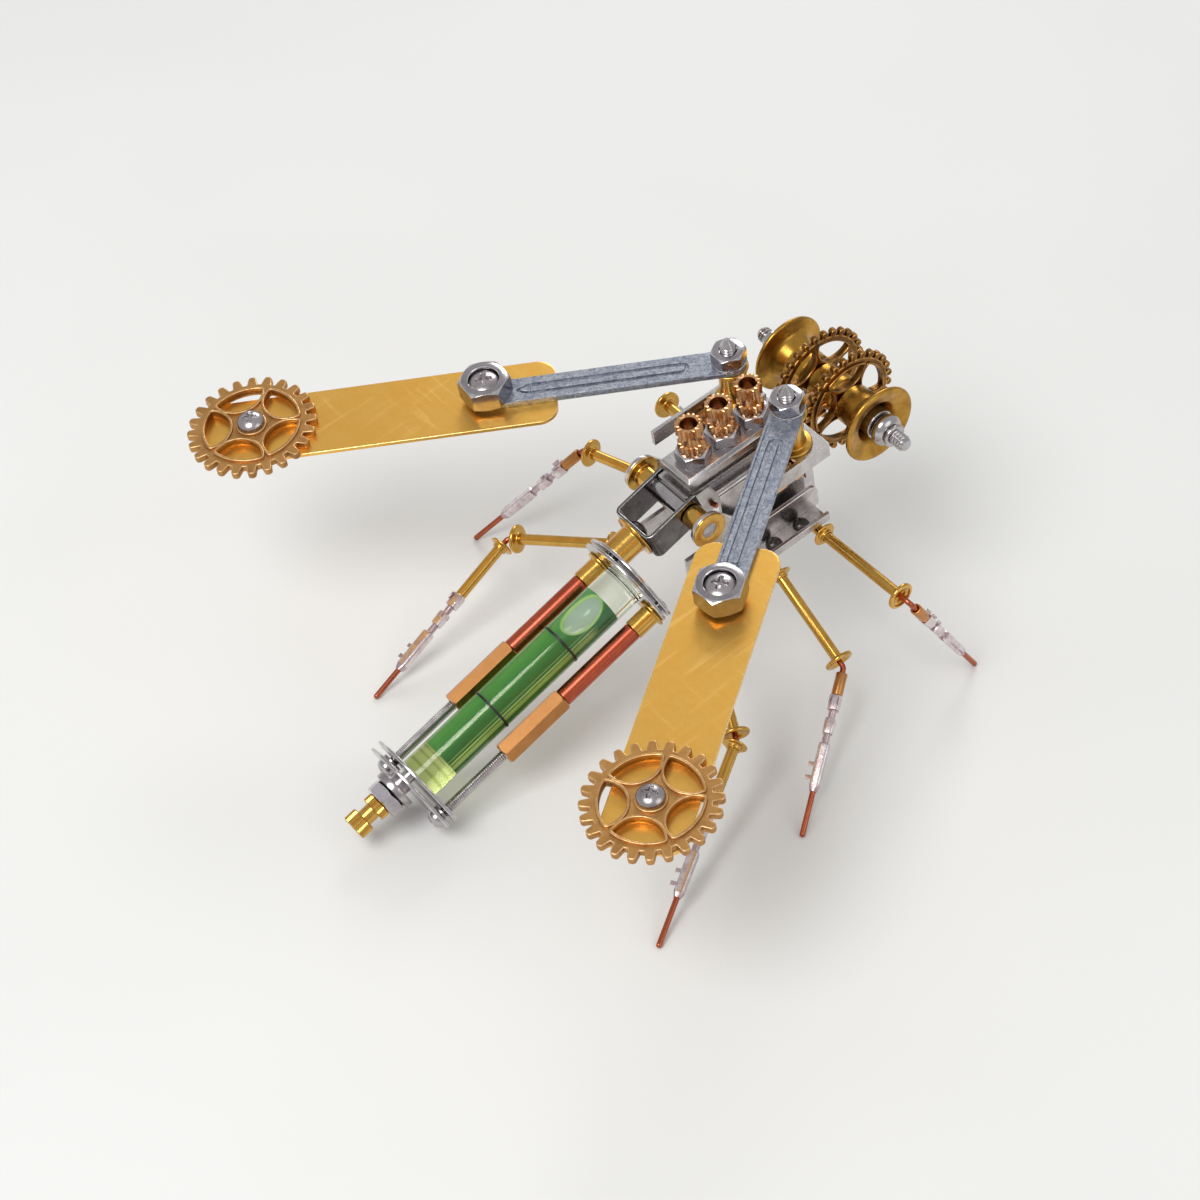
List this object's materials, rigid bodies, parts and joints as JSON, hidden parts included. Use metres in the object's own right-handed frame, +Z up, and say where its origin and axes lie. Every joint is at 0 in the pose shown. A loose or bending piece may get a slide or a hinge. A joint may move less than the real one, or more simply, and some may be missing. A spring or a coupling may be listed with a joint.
{
  "type": "winged insect figure",
  "caption": "Steampunk winged insect figure of clockwork hardware: swept strut and plate wings with spoked gears, a spirit-level vial abdomen, bent wire legs.",
  "frame": {"origin": "on the ground, under the centre of the whole figure's box", "axes": "+Z up, the head towards -Y, the tail towards +Y, the figure's left side towards +X"},
  "size_m": [0.1328, 0.117, 0.0602],
  "materials": {
    "polished_brass": "polished, lightly scratched",
    "aged_brass": "cast and darkened in the recesses",
    "bronze": "dark antique finish",
    "bright_steel": "nickel bright with small scratches",
    "zinc": "speckled zinc",
    "silver_crimp": "tinned",
    "copper": "bright copper",
    "knurled_copper": "coppery brass",
    "clear_acrylic": "clear",
    "green_liquid": "clear green",
    "black_ring": "matt",
    "hex_brass": "brushed"
  },
  "bodies": {
    "thorax": {"axle_bushes": "polished_brass", "axle_spacer": "bright_steel", "bracket_screws": "bright_steel", "center_barrel": "bronze", "cross_axle": "bright_steel", "eye_bushes": "polished_brass", "head_bolt": "bright_steel", "head_end_nuts": "bright_steel", "inner_channel": "bright_steel", "knurled_inserts": "knurled_copper", "leg_barrels": "copper", "leg_crimps": "silver_crimp", "leg_eyelets": "polished_brass", "leg_tubes": "polished_brass", "leg_wire_fl": "copper", "leg_wire_fr": "copper", "leg_wire_ml": "copper", "leg_wire_mr": "copper", "leg_wire_rl": "copper", "leg_wire_rr": "copper", "lower_clamp_plate": "bright_steel", "m3_nuts": "bright_steel", "neck_insert": "knurled_copper", "riser_bushes": "polished_brass", "side_brackets": "bright_steel", "side_plates": "bright_steel", "stud_washers": "bright_steel", "threaded_studs": "bright_steel", "top_clamp_plate": "bright_steel", "wing_shelves": "bright_steel"},
    "wing_arm_left": {"strut_left": "zinc", "large_nut_left": "bright_steel"},
    "wing_blade_left": {"wing_plate_left": "polished_brass", "pivot_screw_left": "bright_steel", "gear_screw_left": "bright_steel"},
    "wing_gear_left": {"wing_gear_left": "aged_brass"},
    "head_gear_left": {"head_gear_left": "bronze"},
    "wing_arm_right": {"strut_right": "zinc", "large_nut_right": "bright_steel"},
    "wing_blade_right": {"wing_plate_right": "polished_brass", "pivot_screw_right": "bright_steel", "gear_screw_right": "bright_steel"},
    "wing_gear_right": {"wing_gear_right": "aged_brass"},
    "head_gear_right": {"head_gear_right": "bronze"},
    "yoke": {"yoke": "bright_steel", "waist_screw": "bright_steel", "waist_eyelet": "polished_brass"},
    "abdomen": {"front_plates": "bright_steel", "rear_plates": "bright_steel", "rod_bushes": "polished_brass", "rod_tubes": "copper", "rod_hexes": "hex_brass", "rod_threads": "bright_steel", "vial_body": "clear_acrylic", "vial_liquid": "green_liquid", "vial_rings": "black_ring", "abdomen_washers": "bright_steel", "tail_nut": "bright_steel", "tail_stud": "bright_steel", "tail_insert": "polished_brass"}
  },
  "joints": [
    {"name": "wing_sweep_left", "type": "hinge", "parent": "thorax", "child": "wing_arm_left", "pos_m": [0.0077, -0.03146, 0.05381], "axis": [0, 0.1513, 0.9885], "range_deg": [-85, 28]},
    {"name": "blade_swivel_left", "type": "hinge", "parent": "wing_arm_left", "child": "wing_blade_left", "pos_m": [0.03167, 0.00263, 0.04859], "axis": [0, 0.1513, 0.9885], "range_deg": [-45, 45]},
    {"name": "wing_gear_spin_left", "type": "hinge", "parent": "wing_blade_left", "child": "wing_gear_left", "pos_m": [0.05507, 0.03591, 0.0435], "axis": [0, 0.1513, 0.9885], "continuous": true},
    {"name": "head_gear_spin_left", "type": "hinge", "parent": "thorax", "child": "head_gear_left", "pos_m": [0.00385, -0.04855, 0.04459], "axis": [1, 0, 0], "continuous": true},
    {"name": "wing_sweep_right", "type": "hinge", "parent": "thorax", "child": "wing_arm_right", "pos_m": [-0.0077, -0.03146, 0.05381], "axis": [0, 0.1513, 0.9885], "range_deg": [-28, 85]},
    {"name": "blade_swivel_right", "type": "hinge", "parent": "wing_arm_right", "child": "wing_blade_right", "pos_m": [-0.03167, 0.00263, 0.04859], "axis": [0, 0.1513, 0.9885], "range_deg": [-45, 45]},
    {"name": "wing_gear_spin_right", "type": "hinge", "parent": "wing_blade_right", "child": "wing_gear_right", "pos_m": [-0.05507, 0.03591, 0.0435], "axis": [0, 0.1513, 0.9885], "continuous": true},
    {"name": "head_gear_spin_right", "type": "hinge", "parent": "thorax", "child": "head_gear_right", "pos_m": [-0.00385, -0.04855, 0.04459], "axis": [1, 0, 0], "continuous": true},
    {"name": "abdomen_tilt", "type": "hinge", "parent": "thorax", "child": "yoke", "pos_m": [0, -0.01291, 0.03883], "axis": [1, 0, 0], "range_deg": [-12, 20]},
    {"name": "abdomen_roll", "type": "hinge", "parent": "yoke", "child": "abdomen", "pos_m": [0, -0.00016, 0.03329], "axis": [0, 0.9171, -0.3987], "range_deg": [-20, 20]}
  ]
}
